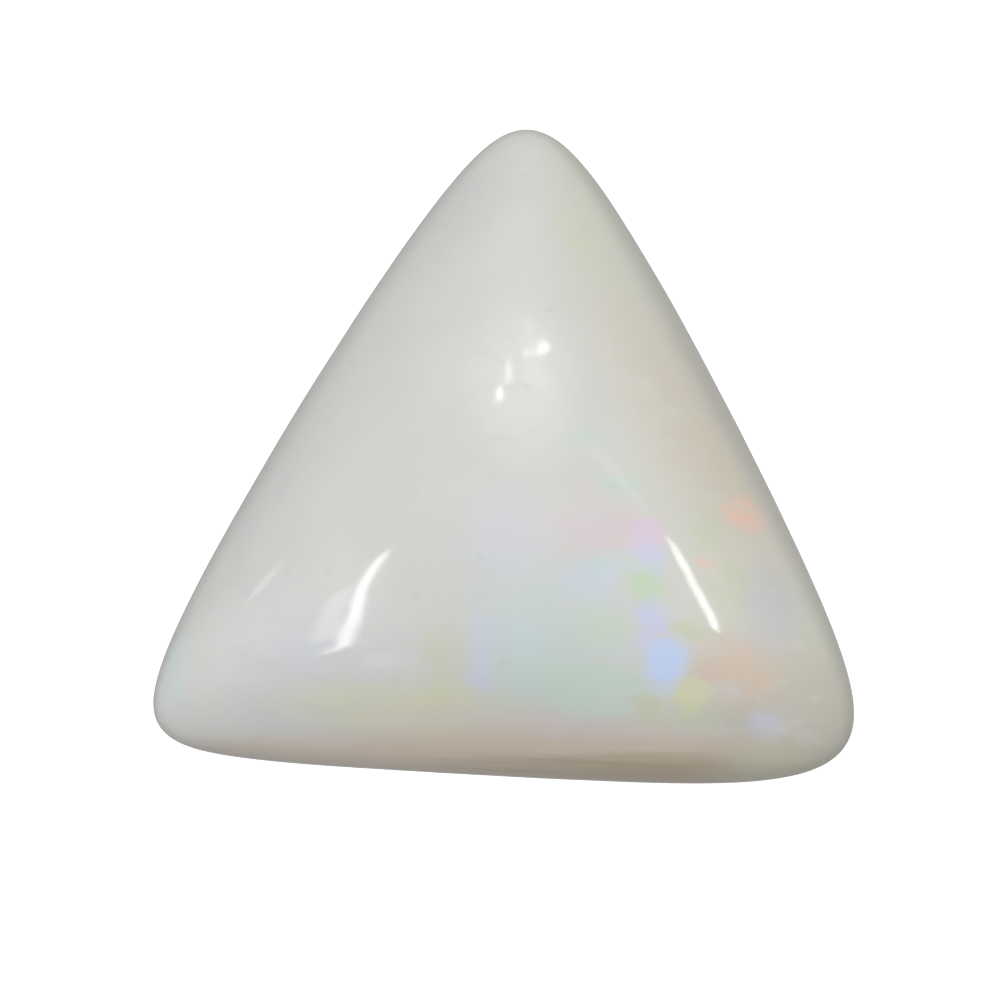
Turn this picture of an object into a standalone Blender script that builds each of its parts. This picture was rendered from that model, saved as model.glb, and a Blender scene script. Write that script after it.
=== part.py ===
"""A polished opal cabochon: one solid, a rounded triangle in plan with a domed face and a flat back.

Metres, with +Z up. The stone lies on its back with its dome up. The origin is in the plane of the back, at
the middle of the stone's bounding box. +Y runs to the narrowest corner and +X along the broad side.
"""

import math

import bmesh
import bpy
import numpy as np

MM = 0.001

# The stone was ground on three long sides, and each corner was taken back a little. Each of the six has the
# way that it faces, in degrees round from +X, its distance from the point that the plan is set out from,
# and the radius that it bows out with.
STRAIGHT = 5000 * MM
LEFT_SIDE = (148.42, 4.121 * MM, 89 * MM)
RIGHT_SIDE = (27.21, 4.593 * MM, 101 * MM)
BROAD_SIDE = (-91.98, 7.479 * MM, STRAIGHT)
NARROW_CORNER = (76.58, 8.708 * MM, STRAIGHT)
LEFT_CORNER = (-96.16, 8.224 * MM, STRAIGHT)
RIGHT_CORNER = (-52.52, 10.93 * MM, STRAIGHT)
SIDES = (LEFT_SIDE, RIGHT_SIDE, BROAD_SIDE, NARROW_CORNER, LEFT_CORNER, RIGHT_CORNER)

# How softly one side runs into the next. It rounds the corners and the ridges that climb from them.
SIDE_BLEND = 0.9204 * MM

# The girdle is the stone's widest line. Below it a small rounded edge turns in to the flat back.
GIRDLE_HEIGHT = 0.9 * MM
BACK_EDGE = 0.55 * MM
DOME_HEIGHT = 5.1 * MM

# The power of the dome's section: the larger it is, the fuller the shoulder and the flatter the top.
DOME_FULLNESS = 1.6

# The hand-ground dome loses its ridges on the way up. This is the share of a circle in its shape at the top.
TOP_ROUNDNESS = 0.6

# How finely the surface is cut into faces.
MERIDIANS = 96
EDGE_RINGS = 5
DOME_RINGS = 28
OUTLINE_SAMPLES = 1440
BISECTIONS = 40

# Milky opal with a vitreous polish.
OPAL_COLOUR = (0.66, 0.66, 0.63, 1.0)
OPAL_ROUGHNESS = 0.08
OPAL_IOR = 1.45

QUARTER_TURN = math.pi / 2
FULL_TURN = 2 * math.pi


def side_depth(x, y, facing, distance, bow):
    """How far inside one ground side a point of the plan lies."""
    angle = math.radians(facing)
    centre_x = (distance - bow) * math.cos(angle)
    centre_y = (distance - bow) * math.sin(angle)
    return bow - math.hypot(x - centre_x, y - centre_y)


def plan_depth(x, y):
    """How far inside the outline a point of the plan lies, with all the sides blended."""
    total = sum(math.exp(-side_depth(x, y, *side) / SIDE_BLEND) for side in SIDES)
    return -SIDE_BLEND * math.log(total)


def find_summit():
    """The deepest point of the plan, under the top of the dome, found by ever shorter steps inward."""
    x, y = 0.0, 0.0
    step = SIDE_BLEND
    headings = [FULL_TURN * turn / 8 for turn in range(8)]
    while step > MM / 10000:
        tries = [(x + step * math.cos(a), y + step * math.sin(a)) for a in headings]
        best = max(tries, key=lambda point: plan_depth(*point))
        if plan_depth(*best) > plan_depth(x, y):
            x, y = best
        else:
            step /= 2
    return x, y


def reach(summit, angle, inset):
    """How far from the summit, in the plan, the stone is still this far inside its outline."""
    near, far = 0.0, 2 * max(distance for _, distance, _ in SIDES)
    for _ in range(BISECTIONS):
        middle = (near + far) / 2
        x, y = plan_point(summit, angle, middle)
        if plan_depth(x, y) > inset:
            near = middle
        else:
            far = middle
    return near


def plan_point(summit, angle, distance):
    """The point of the plan at this distance from the summit."""
    return summit[0] + distance * math.cos(angle), summit[1] + distance * math.sin(angle)


def plan_ring(summit, angles, inset, roundness):
    """One ring of the plan: the outline moved in, with this share of a circle mixed into its shape."""
    reaches = [reach(summit, angle, inset) for angle in angles]
    circle = sum(reaches) / len(reaches)
    mixed = [(1 - roundness) * length + roundness * circle for length in reaches]
    return [plan_point(summit, angle, length) for angle, length in zip(angles, mixed)]


def meridian_angles(summit):
    """Angles of the meridians, closer together round the corners, where the outline turns fastest."""
    angles = np.linspace(0, FULL_TURN, OUTLINE_SAMPLES + 1)
    along = np.diff(np.array(plan_ring(summit, angles, 0.0, 0.0)), axis=0)
    heading = np.unwrap(np.arctan2(along[:, 1], along[:, 0]))
    middle = (angles[:-1] + angles[1:]) / 2
    spread = middle + heading
    spread = np.append(spread, spread[0] + 2 * FULL_TURN)
    middle = np.append(middle, middle[0] + FULL_TURN)
    wanted = np.linspace(spread[0], spread[-1], MERIDIANS, endpoint=False)
    return np.interp(wanted, spread, middle)


def rings_of_the_section(deepest):
    """Inset, roundness and height of each ring, from the edge of the back up to just below the summit."""
    rings = []
    for ring in range(EDGE_RINGS):
        turn = QUARTER_TURN * ring / EDGE_RINGS
        rings.append((BACK_EDGE * (1 - math.sin(turn)), 0.0, GIRDLE_HEIGHT * (1 - math.cos(turn))))
    for ring in range(DOME_RINGS):
        turn = QUARTER_TURN * ring / DOME_RINGS
        rise = math.sin(turn)
        inset = deepest * (1 - math.cos(turn) ** (2 / DOME_FULLNESS))
        rings.append((inset, TOP_ROUNDNESS * rise**3, GIRDLE_HEIGHT + DOME_HEIGHT * rise))
    return rings


def middle_of_outline(summit, angles):
    """The middle of the box round the stone's girdle."""
    xs, ys = zip(*plan_ring(summit, angles, 0.0, 0.0))
    return (min(xs) + max(xs)) / 2, (min(ys) + max(ys)) / 2


def make_opal():
    """The stone's mesh: the flat back's outline, raised ring by ring and closed at the summit."""
    summit = find_summit()
    angles = meridian_angles(summit)
    middle = middle_of_outline(summit, angles)

    bm = bmesh.new()
    back = bmesh.ops.create_circle(bm, cap_ends=True, segments=MERIDIANS, radius=1.0)
    ring = sorted(back["verts"], key=lambda v: math.atan2(v.co.y, v.co.x) % FULL_TURN)
    for number, (inset, roundness, height) in enumerate(rings_of_the_section(plan_depth(*summit))):
        if number:
            ring = raise_ring(bm, ring)
        for vert, (x, y) in zip(ring, plan_ring(summit, angles, inset, roundness)):
            vert.co = (x - middle[0], y - middle[1], height)
    ring = raise_ring(bm, ring)
    top = (summit[0] - middle[0], summit[1] - middle[1], GIRDLE_HEIGHT + DOME_HEIGHT)
    bmesh.ops.pointmerge(bm, verts=ring, merge_co=top)
    bmesh.ops.recalc_face_normals(bm, faces=bm.faces)

    mesh = bpy.data.meshes.new("opal")
    bm.to_mesh(mesh)
    bm.free()
    mesh.shade_smooth()
    mesh.set_sharp_from_angle(angle=math.radians(40))
    return mesh


def raise_ring(bm, ring):
    """A new ring of points joined to this one by a band of faces, in the same order."""
    edges = [bm.edges.get((vert, ring[i - 1])) for i, vert in enumerate(ring)]
    made = bmesh.ops.extrude_edge_only(bm, edges=edges)["geom"]
    raised = {vert for vert in made if isinstance(vert, bmesh.types.BMVert)}
    partner = {}
    for vert in ring:
        partner[vert] = next(e.other_vert(vert) for e in vert.link_edges if e.other_vert(vert) in raised)
    return [partner[vert] for vert in ring]


def opal_material():
    """Milky white opal, polished to a glassy shine."""
    material = bpy.data.materials.new("polished milky opal")
    material.use_nodes = True
    shader = material.node_tree.nodes["Principled BSDF"]
    shader.inputs["Base Color"].default_value = OPAL_COLOUR
    shader.inputs["Roughness"].default_value = OPAL_ROUGHNESS
    shader.inputs["Metallic"].default_value = 0.0
    shader.inputs["IOR"].default_value = OPAL_IOR
    return material


def main():
    for obj in list(bpy.data.objects):
        bpy.data.objects.remove(obj)
    collection = bpy.data.collections.new("opal cabochon")
    bpy.context.scene.collection.children.link(collection)
    opal = bpy.data.objects.new("opal", make_opal())
    opal.data.materials.append(opal_material())
    collection.objects.link(opal)


main()
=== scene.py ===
"""The looks of a polished opal cabochon: the stone, a pale floor, soft lamps and the camera.

The frame is in metres. Every place and width that a material uses is in millimetres on the stone.
"""

import math

import bmesh
import bpy
import numpy as np
from mathutils import Matrix, Vector, noise


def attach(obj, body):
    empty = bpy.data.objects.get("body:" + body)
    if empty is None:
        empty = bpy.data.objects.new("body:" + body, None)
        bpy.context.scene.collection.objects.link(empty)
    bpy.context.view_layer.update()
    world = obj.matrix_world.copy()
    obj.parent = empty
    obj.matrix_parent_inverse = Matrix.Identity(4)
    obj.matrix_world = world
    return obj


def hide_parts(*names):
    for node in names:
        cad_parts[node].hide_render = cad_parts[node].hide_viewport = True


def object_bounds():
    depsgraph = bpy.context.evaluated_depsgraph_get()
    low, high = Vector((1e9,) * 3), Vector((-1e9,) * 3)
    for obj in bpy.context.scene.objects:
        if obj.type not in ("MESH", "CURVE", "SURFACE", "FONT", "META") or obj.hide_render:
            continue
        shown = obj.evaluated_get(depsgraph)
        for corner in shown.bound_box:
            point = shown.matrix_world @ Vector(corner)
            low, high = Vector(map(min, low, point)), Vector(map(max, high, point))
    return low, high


bl_info = {
    "name": "Polished opal cabochon",
    "version": (1, 0, 0),
    "blender": (4, 5, 0),
    "location": "View3D > Sidebar > Opal",
    "description": "Cuts and polishes a milky opal cabochon and lights it on a pale floor",
    "category": "Object",
}

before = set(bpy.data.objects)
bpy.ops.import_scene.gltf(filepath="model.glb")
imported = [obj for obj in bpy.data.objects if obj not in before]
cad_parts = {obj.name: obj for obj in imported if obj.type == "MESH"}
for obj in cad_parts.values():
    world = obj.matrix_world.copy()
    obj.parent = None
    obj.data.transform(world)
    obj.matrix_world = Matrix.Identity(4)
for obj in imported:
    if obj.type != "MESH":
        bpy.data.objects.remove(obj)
CAD_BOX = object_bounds()

MM = 0.001

# The CAD stone's points lie in level rings that are further apart than this.
RING_GAP = 0.002 * MM

# The height of the girdle, the stone's widest line, above the flat back.
GIRDLE_HEIGHT = 0.9 * MM

# The polish's wave starts at this share of the girdle's height. A finer wave lies on the wide one, this much
# lower and this many times as close.
WAVE_START = 0.2
FINE_WAVE_HEIGHT = 0.5
FINE_WAVE_CLOSENESS = 2.3

# How strongly opal bends light. It is a little less than glass.
OPAL_IOR = 1.45

# Where the finer mesh has rings on the flat back, as shares of the way out from its middle to its edge.
BACK_RINGS = (0.1, 0.4, 0.7, 0.9, 0.97)

# The colours that light takes in the stone's grains, as sRGB hex.
PLAY = {
    # pearl_and_painted_light is a paler, bluer tone of the body that also paints light on the lower left,
    # where it would be in shade.
    "pearl_and_painted_light": "E1E2E5",
    "cream": "EAEAE5",
    "sky": "CBDCFF",
    "lavender": "D3D7EC",
    "teal": "C9DFE0",
    "mint": "C9DFD1",
    "green": "C9DEC0",
    "olive": "D0D6BB",
    "yellow": "DCDEB6",
    "ochre": "D5D0B7",
    "salmon": "DECAB8",
    "ember": "EDCDBC",
    "pink": "DDD0D5",
    "orchid": "E1D1E0",
    "peach": "D7D0C4",
    # corner_shade is painted shade: a darker grey for the lower right corner, not a colour of the grains.
    "corner_shade": "C8C5B9",
    "dusk": "CFCDD1",
}

# Where each colour shows: its middle and half widths on the plan in millimetres, the way that the patch
# is turned in degrees, and how much of the colour shows. Wide patches come first and small ones lie on them.
FLASHES = (
    # Partly a paler body tone, partly painted light on the lower left.
    ("pearl_and_painted_light", (-4.5, -5.1), (2.7, 1.5), 0, 0.35),
    ("cream", (0.4, 0.2), (1.1, 1.7), 0, 0.5),
    ("lavender", (0.1, -3.1), (1.0, 1.1), 0, 0.25),
    ("peach", (4.0, -0.4), (1.2, 3.2), 29, 0.8),
    # Painted shade on the lower right corner.
    ("corner_shade", (6.0, -6.2), (2.1, 1.6), 0, 0.8),
    ("teal", (1.2, -4.9), (1.9, 1.3), -4, 0.34),
    ("teal", (0.2, -5.2), (0.8, 0.9), 0, 0.3),
    ("mint", (1.8, -5.8), (1.6, 0.5), -4, 0.6),
    ("lavender", (-0.45, -5.2), (0.28, 0.9), 0, 0.5),
    ("olive", (-1.3, -5.4), (0.5, 0.8), 0, 0.45),
    ("yellow", (-1.9, -6.1), (2.6, 0.4), -4, 0.5),
    ("pink", (0.8, -6.4), (3.6, 0.22), -4, 0.4),
    ("pink", (2.0, -2.8), (1.15, 0.6), 0, 0.65),
    ("orchid", (2.95, -2.95), (0.42, 0.45), 0, 0.9),
    ("lavender", (3.0, -3.4), (0.4, 0.4), 0, 0.7),
    ("teal", (2.35, -3.5), (0.8, 0.3), 0, 0.4),
    ("sky", (1.75, -3.87), (0.6, 0.42), 0, 0.24),
    ("green", (2.92, -3.95), (0.42, 0.42), 0, 0.8),
    ("green", (2.0, -4.75), (0.6, 0.4), 0, 0.4),
    ("lavender", (3.0, -4.65), (0.38, 0.48), 0, 1.0),
    ("olive", (3.86, -4.75), (0.5, 0.25), 0, 0.7),
    ("salmon", (4.8, -5.45), (0.95, 0.7), -4, 0.7),
    ("sky", (3.32, -5.36), (0.52, 0.46), 0, 1.0),
    ("yellow", (3.87, -5.92), (0.42, 0.34), 0, 0.85),
    ("ochre", (3.0, -6.14), (0.28, 0.22), 0, 0.6),
    ("olive", (3.5, -6.3), (1.1, 0.3), 0, 0.45),
    ("ochre", (4.55, -1.1), (0.35, 1.2), 29, 0.6),
    ("ember", (5.0, -2.12), (0.48, 0.42), 0, 0.95),
    ("olive", (4.2, -2.6), (0.45, 0.5), 0, 0.55),
    ("ember", (4.1, -3.37), (0.26, 0.14), 0, 0.6),
    ("olive", (4.7, -3.8), (0.5, 0.75), 0, 0.5),
    ("dusk", (5.5, -4.1), (0.7, 1.0), 0, 0.75),
    ("lavender", (5.4, -6.36), (0.42, 0.32), 0, 0.6),
    ("pink", (5.95, -6.25), (0.4, 0.3), 0, 0.25),
    ("olive", (5.8, -6.85), (1.2, 0.35), 0, 0.5),
    ("teal", (-6.9, -5.1), (0.35, 1.1), 0, 0.4),
    ("lavender", (-4.2, -5.1), (0.7, 0.4), 0, 0.22),
    ("yellow", (1.6, 3.7), (0.4, 0.9), 29, 0.25),
    ("mint", (1.7, -0.95), (0.45, 0.28), 0, 0.4),
    ("mint", (2.45, -1.87), (0.4, 0.32), 0, 0.5),
    ("pink", (1.6, -1.9), (0.35, 0.3), 0, 0.3),
)

# Where the sky is brightest, as azimuth from +Y towards +X and elevation in degrees.
BRIGHTEST_SKY = (-12, 55)

# The lamps, as the strips of sky that each covers: where it starts and ends, in the same two angles, its
# width in degrees, and how bright it is against the others.
LAMPS = (
    ("low left tube", (-157.5, 27), (-144.5, 46), 0.6, 3.2),
    ("high left tube", (-144.5, 46), (-102, 62), 2.0, 1.5),
    ("left pane", (-153, 31), (-121, 53), 4.0, 0.28),
    ("left sill", (-157, 28), (-157.5, 22.5), 1.0, 1.2),
    ("right window", (74, 43.5), (123, 44.5), 3.0, 1.1),
    ("right haze", (38, 60), (68, 49), 3.0, 0.08),
    ("near top lamp", (16, 47.5), (21.5, 42.5), 1.9, 1.5),
    ("dim top lamp", (5, 50.5), (14, 48.5), 1.4, 0.6),
    ("far top lamp", (-11.5, 57.5), (-10, 62), 2.2, 1.2),
    ("faint top lamp", (-5, 51.5), (-4.5, 57), 2.4, 0.6),
    ("top haze", (8, 42), (16, 57), 9.0, 0.1),
    ("side lamp", (-69.5, 10), (-69.5, 17), 4.0, 0.2),
    ("front lamp", (-165.4, 11.6), (-163.5, 21.7), 0.5, 0.5),
)

# How far the lamps hang from the middle of the stone's back, in metres.
LAMP_DISTANCE = 0.25

# The floor reaches this far each way, in metres. Its board has this many grains in a metre.
FLOOR_REACH = 1.5
BOARD_GRAINS = 900.0

# The point that the camera looks at, which brings the stone to its place in the picture.
CAMERA_AIM = Vector((-0.080, -0.701, -0.226)) * MM

# The width of the camera's sensor, in millimetres.
SENSOR_WIDTH = 36.0


def to_linear(code):
    """A colour written as sRGB hex, as the linear values that a shader takes."""
    parts = [int(code[place : place + 2], 16) / 255 for place in (0, 2, 4)]
    return [part / 12.92 if part <= 0.04045 else ((part + 0.055) / 1.055) ** 2.4 for part in parts]


def colour(name, code, description):
    """A colour that the user can change."""
    return bpy.props.FloatVectorProperty(
        name=name,
        description=description,
        subtype="COLOR",
        size=3,
        min=0,
        max=1,
        default=to_linear(code),
    )


def length(name, millimetres, description):
    """A length that the user can change."""
    return bpy.props.FloatProperty(
        name=name,
        description=description,
        unit="LENGTH",
        precision=6,
        min=0,
        default=millimetres * MM,
    )


class OpalStone(bpy.types.PropertyGroup):
    """The finish of the stone."""

    polish_wave: length("Polish wave", 0.007, "How far the hand-held polish left the dome from even")
    polish_wave_width: length("Polish wave width", 1.9, "The width of one rise and fall of the polish")
    glow_depth: length("Glow depth", 1.3, "How far light wanders inside the milky stone")
    milk: colour("Milk", "D9D9D6", "The body of the stone")
    cool_milk: colour("Cool milk", "D2D5D2", "The thinner clouds in the body")
    # Painted warm light: the warm cast on the faces that turn to the right.
    warm_right_light: colour("Straw", "D8D8CB", "The tint down the right side")
    # Tan and clay are potch colours, and on the faces that turn to the front they also paint shade.
    tan: colour("Tan", "D9CCBC", "The clay-coloured potch low on the broad side")
    clay: colour("Clay", "BBAA91", "The lowest and darkest layers of the potch")
    # Painted shade: the darker colour laid on the stone near its girdle.
    rim_shade: colour("Rim", "A39F95", "The stone near its girdle, where little light comes back")
    speck: colour("Speck", "BFC2BA", "Tiny clear spots under the surface")
    lapped: colour("Lapped back", "BDB9AE", "The back, which was ground and not polished")


class OpalStudio(bpy.types.PropertyGroup):
    """The floor, the light and the camera."""

    tilt: bpy.props.FloatProperty(
        name="Tilt",
        description="How far the camera leans from straight above the stone",
        subtype="ANGLE",
        default=math.radians(14),
    )
    distance: length("Distance", 160, "From the camera to the stone")
    view_width: length("View width", 21.37, "How much of the floor the picture spans")
    floor: colour("Floor", "F4F4F4", "The pale floor")
    sky: bpy.props.FloatProperty(
        name="Sky",
        description="How bright the light from all round is",
        min=0,
        default=0.613,
    )
    sky_contrast: bpy.props.FloatProperty(
        name="Sky contrast",
        description="How much brighter and dimmer the sky gets at its two ends",
        min=0,
        default=0.26,
    )
    lamps: bpy.props.FloatProperty(
        name="Lamps",
        description="How bright the lamps look, against white",
        min=0,
        default=10.0,
    )


def add(tree, kind, settings=None, links=None):
    """Adds a node with its settings. Each link is to a socket or gives it a value."""
    made = tree.nodes.new(kind)
    for name, value in (settings or {}).items():
        setattr(made, name, value)
    for socket, value in (links or {}).items():
        if isinstance(value, bpy.types.NodeSocket):
            tree.links.new(value, made.inputs[socket])
        else:
            made.inputs[socket].default_value = value
    return made


def rgba(values):
    """A colour with full alpha."""
    return (*values, 1.0)


def new_material(name):
    """A material with its shader and nothing else yet."""
    material = bpy.data.materials.new(name)
    material.use_nodes = True
    return material, material.node_tree, material.node_tree.nodes["Principled BSDF"]


def on_the_stone(tree):
    """Where a point is, in millimetres, and which way the surface faces there."""
    place = add(tree, "ShaderNodeTexCoord")
    millimetres = add(
        tree, "ShaderNodeVectorMath", {"operation": "SCALE"}, {0: place.outputs["Object"], "Scale": 1 / MM}
    ).outputs[0]
    return millimetres, place.outputs["Normal"]


def tint(tree, under, over, value, start, end, amount):
    """Lays one colour over another, up to an amount, as a value goes from start to end."""
    levels = {0: value, 1: start, 2: end, 3: 0.0, 4: amount}
    share = add(tree, "ShaderNodeMapRange", {"interpolation_type": "SMOOTHSTEP"}, levels).outputs[0]
    return add(tree, "ShaderNodeMix", {"data_type": "RGBA"}, {0: share, 6: under, 7: over}).outputs[2]


def potch_layers(tree, millimetres):
    """The layers that opal forms in, about 0.3 mm thick here and level with the back."""
    layers = add(
        tree, "ShaderNodeMapping", None, {"Vector": millimetres, "Scale": (1 / 4.0, 1 / 4.0, 1 / 0.3)}
    ).outputs[0]
    return add(tree, "ShaderNodeTexNoise", None, {"Vector": layers, "Scale": 1.0, "Detail": 2.0}).outputs[0]


def body_colour(tree, stone, millimetres, normal, layers):
    """The milky body: clouds, a warm cast painted on the faces that turn to the right, and tan potch along
    the broad side, partly painted shade.
    """
    facing = add(tree, "ShaderNodeSeparateXYZ", None, {0: normal}).outputs

    # Clouds 3 mm wide, where the silica is less milky.
    clouds = add(tree, "ShaderNodeTexNoise", None, {"Vector": millimetres, "Scale": 1 / 3.0, "Detail": 2.0})
    body = tint(tree, rgba(stone.milk), rgba(stone.cool_milk), clouds.outputs[0], 0.4, 0.65, 0.6)
    # Painted warm light: faces that turn to the right get a warm cast.
    body = tint(tree, body, rgba(stone.warm_right_light), facing[0], 0.1, 0.7, 0.9)

    # The potch gets thicker from the left corner to the right.
    uneven = add(
        tree, "ShaderNodeMapRange", None, {0: layers, 1: 0.3, 2: 0.7, 3: -0.015, 4: 0.015}
    ).outputs[0]
    along = add(tree, "ShaderNodeSeparateXYZ", None, {0: millimetres}).outputs[0]
    thickness = add(
        tree, "ShaderNodeMapRange", None, {0: along, 1: -7.0, 2: 7.0, 3: -0.07, 4: 0.05}
    ).outputs[0]
    depth = add(tree, "ShaderNodeMath", {"operation": "ADD"}, {0: uneven, 1: thickness}).outputs[0]
    # Faces that turn to the front get more of it: there the tan and clay are partly potch and partly painted
    # shade.
    depth = add(tree, "ShaderNodeMath", {"operation": "SUBTRACT"}, {0: depth, 1: facing[1]}).outputs[0]
    body = tint(tree, body, rgba(stone.tan), depth, 0.86, 0.95, 1.0)
    return tint(tree, body, rgba(stone.clay), depth, 0.95, 1.01, 1.0)


def play_of_colour(tree, stone, body, millimetres):
    """The flashes of colour, laid over the body in soft streaky grains, with tiny clear spots."""
    # The grains are 0.45 mm wide, and their edges run out in ribbons 0.35 mm thick.
    ribbons = add(
        tree, "ShaderNodeMapping", None, {"Vector": millimetres, "Scale": (1 / 1.1, 1 / 0.35, 1 / 1.1)}
    ).outputs[0]
    ribbons = add(tree, "ShaderNodeTexNoise", None, {"Vector": ribbons, "Scale": 1.0, "Detail": 2.0})
    shift = add(
        tree,
        "ShaderNodeVectorMath",
        {"operation": "MULTIPLY_ADD"},
        {0: ribbons.outputs["Color"], 1: (0.5, 0.3, 0.3), 2: (-0.25, -0.15, -0.15)},
    ).outputs[0]
    shifted = add(tree, "ShaderNodeVectorMath", {"operation": "ADD"}, {0: millimetres, 1: shift}).outputs[0]
    grains = add(tree, "ShaderNodeTexVoronoi", None, {"Vector": shifted, "Scale": 1 / 0.45})
    place = add(
        tree,
        "ShaderNodeMix",
        {"data_type": "VECTOR"},
        {0: 0.18, 4: shifted, 5: grains.outputs["Position"]},
    ).outputs[1]
    turned = {0: place}
    play = body
    for name, middle, half_widths, turn, amount in FLASHES:
        angle = math.radians(turn)
        if turn not in turned:
            turned[turn] = add(
                tree, "ShaderNodeMapping", None, {"Vector": place, "Rotation": (0.0, 0.0, -angle)}
            ).outputs[0]
        x, y = Matrix.Rotation(-angle, 2) @ Vector(middle)
        wide, high = half_widths
        local = add(
            tree,
            "ShaderNodeVectorMath",
            {"operation": "MULTIPLY_ADD", "label": name},
            {0: turned[turn], 1: (1 / wide, 1 / high, 0.0), 2: (-x / wide, -y / high, 0.0)},
        ).outputs[0]
        away = add(tree, "ShaderNodeVectorMath", {"operation": "LENGTH"}, {0: local}).outputs["Value"]
        play = tint(tree, play, rgba(to_linear(PLAY[name])), away, 1.4, 0.3, amount)
    play = tint(tree, body, play, ribbons.outputs[0], 0.12, 0.5, 1.0)
    return clear_spots(tree, stone, play, grains)


def clear_spots(tree, stone, play, grains):
    """One grain in fourteen has a clear spot about 0.15 mm wide at its heart."""
    chance = add(tree, "ShaderNodeSeparateXYZ", None, {0: grains.outputs["Color"]}).outputs[0]
    plain = add(tree, "ShaderNodeMath", {"operation": "LESS_THAN"}, {0: chance, 1: 0.93}).outputs[0]
    heart = add(
        tree, "ShaderNodeMath", {"operation": "ADD"}, {0: plain, 1: grains.outputs["Distance"]}
    ).outputs[0]
    return tint(tree, play, rgba(stone.speck), heart, 0.29, 0.05, 0.18)


def polished_milky_opal(stone):
    """Milky opal, cut and polished on a wheel: it glows from within and shines like glass."""
    material, tree, shader = new_material("Polished milky opal")
    millimetres, normal = on_the_stone(tree)
    layers = potch_layers(tree, millimetres)
    body = body_colour(tree, stone, millimetres, normal, layers)
    body = play_of_colour(tree, stone, body, millimetres)

    # Painted shade: little light comes back near the girdle, least of all on the right, so the colour is
    # darkened there by which way each face turns.
    lit = add(
        tree, "ShaderNodeVectorMath", {"operation": "DOT_PRODUCT"}, {0: normal, 1: (-0.06, -0.18, 1.0)}
    ).outputs["Value"]
    body = tint(tree, body, rgba(stone.rim_shade), lit, 0.48, 0.12, 0.62)

    # Round the base the potch crops out in wavy layers, palest at the top: 1.2 mm high, but lower in front.
    height = add(tree, "ShaderNodeSeparateXYZ", None, {0: millimetres}).outputs[2]
    backwards = add(tree, "ShaderNodeSeparateXYZ", None, {0: normal}).outputs[1]
    height = add(
        tree, "ShaderNodeMath", {"operation": "MULTIPLY_ADD"}, {0: backwards, 1: -0.3, 2: height}
    ).outputs[0]
    height = add(tree, "ShaderNodeMath", {"operation": "SUBTRACT"}, {0: height, 1: layers}).outputs[0]
    body = tint(tree, body, rgba(stone.milk), height, 0.65, 0.2, 0.8)
    body = tint(tree, body, rgba(stone.tan), height, 0.3, -0.1, 0.7)
    body = tint(tree, body, rgba(stone.clay), height, -0.05, -0.45, 0.5)
    tree.links.new(body, shader.inputs["Base Color"])

    # A wheel leaves the gloss a little uneven from one millimetre to the next, and ripples 0.7 mm wide.
    haze = add(tree, "ShaderNodeTexNoise", None, {"Vector": millimetres, "Scale": 1 / 1.5, "Detail": 2.0})
    gloss = add(
        tree, "ShaderNodeMapRange", None, {0: haze.outputs[0], 1: 0.3, 2: 0.7, 3: 0.06, 4: 0.11}
    ).outputs[0]
    tree.links.new(gloss, shader.inputs["Roughness"])
    ripple = add(tree, "ShaderNodeTexNoise", None, {"Vector": millimetres, "Scale": 1 / 0.7, "Detail": 1.0})
    bump = add(
        tree, "ShaderNodeBump", None, {"Strength": 1.0, "Distance": 0.0045 * MM, "Height": ripple.outputs[0]}
    ).outputs[0]
    tree.links.new(bump, shader.inputs["Normal"])
    shader.inputs["IOR"].default_value = OPAL_IOR
    shader.inputs["Subsurface Weight"].default_value = 0.8
    shader.inputs["Subsurface Radius"].default_value = (1.0, 0.9, 0.75)
    shader.inputs["Subsurface Scale"].default_value = stone.glow_depth
    return material


def lapped_opal(stone):
    """The same opal ground flat on a lap and left unpolished: dull, with fine straight scratches."""
    material, tree, shader = new_material("Lapped opal back")
    millimetres, _ = on_the_stone(tree)
    stretched = add(
        tree,
        "ShaderNodeMapping",
        None,
        {"Vector": millimetres, "Rotation": (0.0, 0.0, math.radians(24)), "Scale": (0.25, 1 / 0.12, 1.0)},
    ).outputs[0]

    # Grit leaves scratches about 0.02 mm apart. They are drawn 0.12 mm apart, so that they show.
    scratches = add(tree, "ShaderNodeTexNoise", None, {"Vector": stretched, "Scale": 1.0, "Detail": 3.0})
    bump = add(
        tree,
        "ShaderNodeBump",
        None,
        {"Strength": 0.35, "Distance": 0.02 * MM, "Height": scratches.outputs[0]},
    ).outputs[0]
    tree.links.new(bump, shader.inputs["Normal"])
    clouds = add(tree, "ShaderNodeTexNoise", None, {"Vector": millimetres, "Scale": 1 / 2.5, "Detail": 4.0})
    body = tint(tree, rgba(stone.lapped), rgba(stone.milk), clouds.outputs[0], 0.35, 0.7, 0.7)
    tree.links.new(body, shader.inputs["Base Color"])
    dull = add(
        tree, "ShaderNodeMapRange", None, {0: scratches.outputs[0], 1: 0.3, 2: 0.7, 3: 0.4, 4: 0.6}
    ).outputs[0]
    tree.links.new(dull, shader.inputs["Roughness"])
    shader.inputs["IOR"].default_value = OPAL_IOR
    return material


def ring_points(node):
    """The CAD stone as rings of points from the back up, all on the same meridians, and its summit."""
    points = np.array(sorted({tuple(vert.co) for vert in node.data.vertices}, key=lambda point: point[2]))
    summit = points[-1]
    outward = points[:-1] - summit
    steps = np.flatnonzero(np.diff(points[:-1, 2]) > RING_GAP) + 1
    levels = np.split(outward, steps)
    turns = [np.arctan2(level[:, 1], level[:, 0]) for level in levels]
    reaches = [np.hypot(level[:, 0], level[:, 1]) for level in levels]
    meridians = np.sort(max(turns, key=len))
    rings = []
    for level, turn, reach in zip(levels, turns, reaches):
        even = np.interp(meridians, turn, reach, period=2 * math.pi)
        ring = np.column_stack((np.cos(meridians) * even, np.sin(meridians) * even, even * 0 + level[0, 2]))
        rings.append(summit + ring)
    return rings, summit


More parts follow.
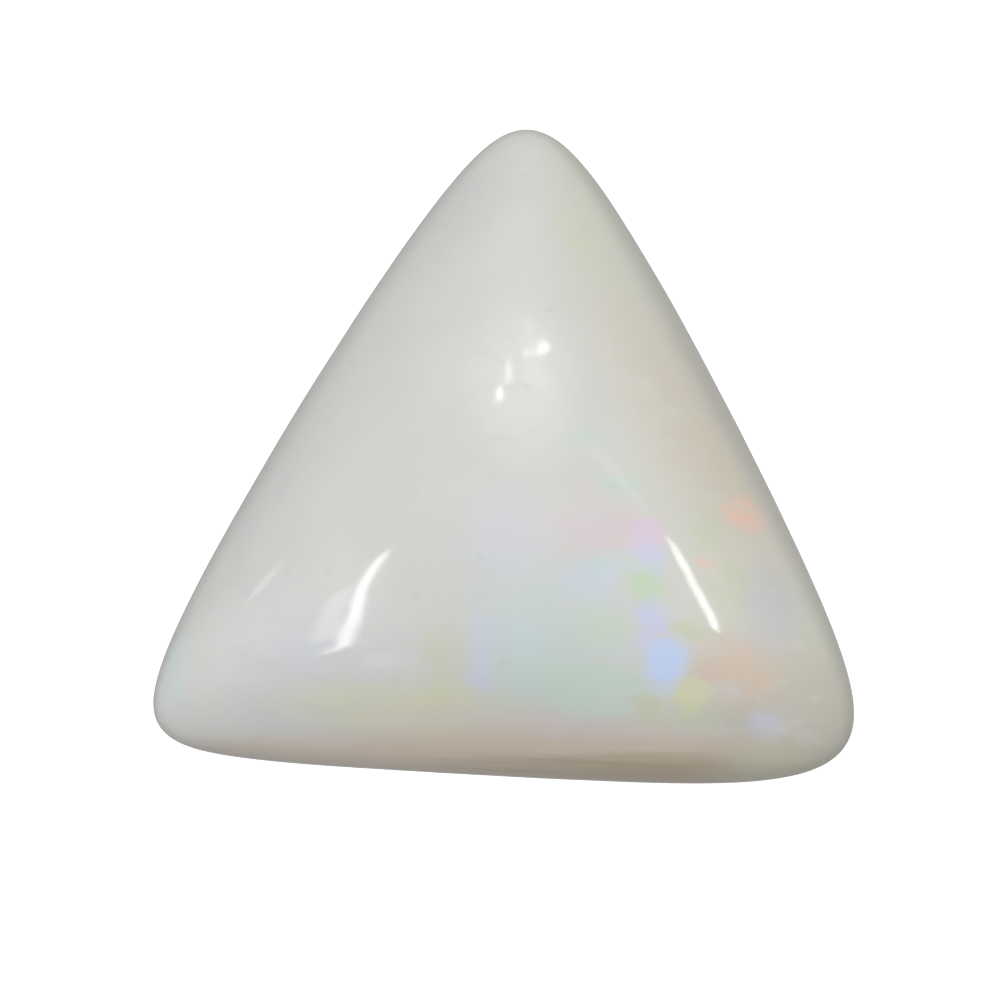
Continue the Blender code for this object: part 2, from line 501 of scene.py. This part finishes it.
def stone_mesh(node):
    """The CAD stone's rings as bands of four-sided faces, so that they subdivide evenly."""
    rings, summit = ring_points(node)

    # The flat back has rings as well, which hold its edge in place when the faces are smoothed.
    below = summit * (1.0, 1.0, 0.0)
    back = [below + (rings[0] - below) * share for share in BACK_RINGS]
    bm = bmesh.new()
    loops = [[bm.verts.new(point) for point in ring] for ring in back + rings]
    top = bm.verts.new(summit)
    for number, (low, high) in enumerate(zip(loops, loops[1:])):
        for place in range(len(low)):
            face = bm.faces.new((low[place - 1], low[place], high[place], high[place - 1]))
            face.material_index = 1 if number < len(back) else 0
    for place in range(len(loops[-1])):
        bm.faces.new((loops[-1][place - 1], loops[-1][place], top))
    bm.faces.new(reversed(loops[0])).material_index = 1
    mesh = bpy.data.meshes.new("opal_stone")
    bm.to_mesh(mesh)
    bm.free()
    return mesh


def wave_the_polish(mesh, height, width):
    """Moves the polished surface in and out a little, by smooth noise, and leaves the flat back alone."""
    moved = []
    for vert in mesh.vertices:
        share = min(max(vert.co.z / GIRDLE_HEIGHT - WAVE_START, 0.0), 1.0)
        wide = noise.noise(vert.co / width)
        fine = noise.noise(vert.co / width * FINE_WAVE_CLOSENESS)
        wave = wide + FINE_WAVE_HEIGHT * fine
        moved.append(vert.co + vert.normal * (height * share * wave))
    for vert, place in zip(mesh.vertices, moved):
        vert.co = place


class OPAL_OT_polish_stone(bpy.types.Operator):
    """Make the polished stone in place of the CAD solid"""

    bl_idname = "opal.polish_stone"
    bl_label = "Polish the stone"

    def execute(self, context):
        stone = context.scene.opal_stone
        mesh = stone_mesh(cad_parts["opal"])
        piece = bpy.data.objects.new("opal_stone", mesh)
        context.scene.collection.objects.link(piece)
        piece.data.materials.append(polished_milky_opal(stone))
        piece.data.materials.append(lapped_opal(stone))
        subdivision = piece.modifiers.new("Smooth", "SUBSURF")
        subdivision.levels = 2
        subdivision.render_levels = 2
        context.view_layer.update()
        finished = bpy.data.meshes.new_from_object(piece.evaluated_get(context.evaluated_depsgraph_get()))
        piece.modifiers.clear()
        piece.data = finished
        wave_the_polish(finished, stone.polish_wave, stone.polish_wave_width)
        finished.shade_smooth()
        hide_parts("opal")
        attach(piece, "root")
        return {"FINISHED"}


def direction(azimuth, elevation):
    """A unit vector: azimuth in degrees from +Y towards +X, elevation in degrees above the floor."""
    turn, rise = math.radians(azimuth), math.radians(elevation)
    return Vector((math.sin(turn) * math.cos(rise), math.cos(turn) * math.cos(rise), math.sin(rise)))


def strip_lamp(name, start, end, width, radiance):
    """A lamp that covers a strip of the sky between two directions, as bright as this many times white."""
    first, last = direction(*start) * LAMP_DISTANCE, direction(*end) * LAMP_DISTANCE
    lamp = bpy.data.lights.new(name, "AREA")
    lamp.shape = "RECTANGLE"
    lamp.size = (last - first).length
    lamp.size_y = LAMP_DISTANCE * math.radians(width)
    lamp.energy = radiance * math.pi * lamp.size * lamp.size_y
    obj = bpy.data.objects.new(name, lamp)
    bpy.context.scene.collection.objects.link(obj)
    along = (last - first).normalized()
    across = (first + last).cross(along).normalized()
    obj.matrix_world = Matrix((along, across, along.cross(across))).transposed().to_4x4()
    obj.location = (first + last) / 2


def studio_sky(world, studio):
    """Soft light all round, a little stronger from above and behind than from below and in front."""
    world.use_nodes = True
    tree = world.node_tree
    place = add(tree, "ShaderNodeTexCoord")
    towards = add(
        tree,
        "ShaderNodeVectorMath",
        {"operation": "DOT_PRODUCT"},
        {0: place.outputs["Generated"], 1: direction(*BRIGHTEST_SKY)},
    ).outputs["Value"]
    dim, bright = studio.sky - studio.sky_contrast, studio.sky + studio.sky_contrast
    level = add(tree, "ShaderNodeMapRange", None, {0: towards, 1: -1.0, 2: 1.0, 3: dim, 4: bright})
    shader = tree.nodes["Background"]
    shader.inputs["Color"].default_value = (1.0, 1.0, 1.0, 1.0)
    tree.links.new(level.outputs[0], shader.inputs["Strength"])


def pale_floor(studio):
    """Matt white board, which glows a little so that the stone's shadow stays faint."""
    material, tree, shader = new_material("Matt white board")
    place = add(tree, "ShaderNodeTexCoord")
    grain = add(tree, "ShaderNodeTexNoise", None, {"Vector": place.outputs["Object"], "Scale": BOARD_GRAINS})
    shade = tint(tree, rgba(studio.floor), (0.8, 0.8, 0.8, 1.0), grain.outputs[0], 0.3, 0.7, 0.03)
    tree.links.new(shade, shader.inputs["Base Color"])
    shader.inputs["Roughness"].default_value = 0.9
    shader.inputs["Emission Color"].default_value = (1.0, 1.0, 1.0, 1.0)
    shader.inputs["Emission Strength"].default_value = 0.6
    return material


class OPAL_OT_set_stage(bpy.types.Operator):
    """Lay the floor, hang the lamps and set up the camera"""

    bl_idname = "opal.set_stage"
    bl_label = "Set the stage"

    def execute(self, context):
        scene = context.scene
        studio = scene.opal_studio
        mesh = bpy.data.meshes.new("floor")
        bm = bmesh.new()
        bmesh.ops.create_grid(bm, x_segments=1, y_segments=1, size=FLOOR_REACH)
        bm.to_mesh(mesh)
        bm.free()
        floor = bpy.data.objects.new("floor", mesh)
        floor.location.z = CAD_BOX[0].z
        floor.data.materials.append(pale_floor(studio))
        floor.visible_diffuse = False
        floor.visible_glossy = False
        scene.collection.objects.link(floor)

        scene.world = scene.world or bpy.data.worlds.new("studio")
        studio_sky(scene.world, studio)
        for name, start, end, width, brightness in LAMPS:
            strip_lamp(name, start, end, width, brightness * studio.lamps)

        camera = bpy.data.objects.new("camera", bpy.data.cameras.new("camera"))
        scene.collection.objects.link(camera)
        back = Vector((0.0, -math.sin(studio.tilt), math.cos(studio.tilt)))
        camera.location = CAMERA_AIM + back * studio.distance
        camera.rotation_euler = (studio.tilt, 0.0, 0.0)
        camera.data.sensor_width = SENSOR_WIDTH
        camera.data.lens = SENSOR_WIDTH * studio.distance / studio.view_width
        camera.data.clip_start = 0.01
        scene.camera = camera
        scene.view_settings.view_transform = "Standard"
        return {"FINISHED"}


class OPAL_PT_workbench(bpy.types.Panel):
    """The steps that make the opal, and its finish"""

    bl_label = "Opal cabochon"
    bl_idname = "OPAL_PT_workbench"
    bl_space_type = "VIEW_3D"
    bl_region_type = "UI"
    bl_category = "Opal"

    def draw(self, context):
        layout = self.layout
        for step in STEPS:
            layout.operator(step.bl_idname)
        for group in (context.scene.opal_stone, context.scene.opal_studio):
            box = layout.box()
            for name in group.__annotations__:
                box.prop(group, name)


STEPS = (OPAL_OT_polish_stone, OPAL_OT_set_stage)
CLASSES = (OpalStone, OpalStudio, *STEPS, OPAL_PT_workbench)


def register():
    for cls in CLASSES:
        bpy.utils.register_class(cls)
    bpy.types.Scene.opal_stone = bpy.props.PointerProperty(type=OpalStone)
    bpy.types.Scene.opal_studio = bpy.props.PointerProperty(type=OpalStudio)


def unregister():
    del bpy.types.Scene.opal_studio
    del bpy.types.Scene.opal_stone
    for cls in reversed(CLASSES):
        bpy.utils.unregister_class(cls)


def main():
    register()
    bpy.ops.opal.polish_stone()
    bpy.ops.opal.set_stage()


if __name__ == "__main__":
    main()
